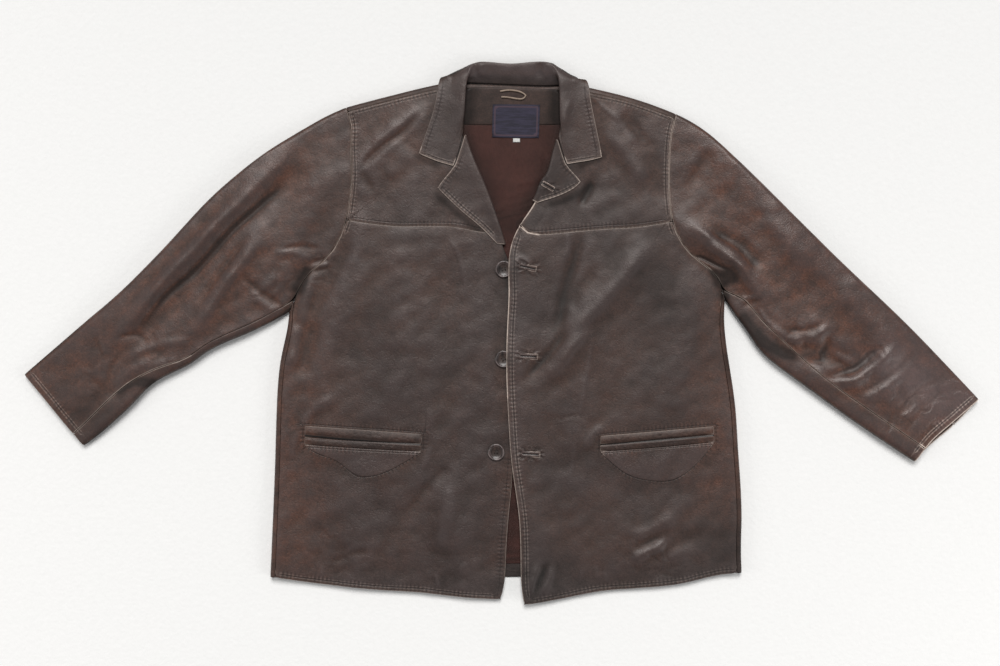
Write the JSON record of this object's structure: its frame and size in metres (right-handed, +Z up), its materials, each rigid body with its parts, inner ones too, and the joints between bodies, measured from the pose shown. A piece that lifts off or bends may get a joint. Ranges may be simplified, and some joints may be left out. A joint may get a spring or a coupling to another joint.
{
  "type": "worn leather coat",
  "caption": "Thigh-length leather coat with buttons, notched lapels and welt pockets, lying flat on its back with the front closed and the sleeves spread.",
  "frame": {"origin": "on the surface that the coat lies on, under the middle of the chest", "axes": "+Z up out of the front; +Y to the collar; +X to the right sleeve as seen from above"},
  "size_m": [1.4324, 0.8165, 0.0235],
  "materials": {
    "brown_leather": "worn, semi-gloss",
    "sleeve_leather": "worn, semi-gloss",
    "collar_leather": "worn, semi-gloss",
    "lining_cloth": "smooth woven",
    "label_cloth": "woven, matt",
    "tab_cloth": "woven, matt",
    "loop_leather": "worn, matt",
    "button_resin": "polished"
  },
  "bodies": {
    "root": {"sleeve_left_under": "sleeve_leather", "sleeve_left_upper": "sleeve_leather", "sleeve_right_under": "sleeve_leather", "sleeve_right_upper": "sleeve_leather", "collar": "collar_leather", "lining_back": "lining_cloth", "label": "label_cloth", "size_tab": "tab_cloth", "hanger_loop": "loop_leather", "button_1": "button_resin", "button_2": "button_resin", "button_3": "button_resin", "back": "brown_leather", "back_neck_facing": "brown_leather", "front_left": "brown_leather", "front_right": "brown_leather", "yoke_left": "brown_leather", "yoke_right": "brown_leather", "lapel_left": "brown_leather", "lapel_right": "brown_leather", "buttonhole_1": "brown_leather", "buttonhole_2": "brown_leather", "buttonhole_3": "brown_leather", "buttonhole_lapel": "brown_leather", "pocket_left_crescent": "brown_leather", "pocket_left_welt_lower": "brown_leather", "pocket_left_welt_upper": "brown_leather", "pocket_right_crescent": "brown_leather", "pocket_right_welt_lower": "brown_leather", "pocket_right_welt_upper": "brown_leather"}
  },
  "joints": []
}
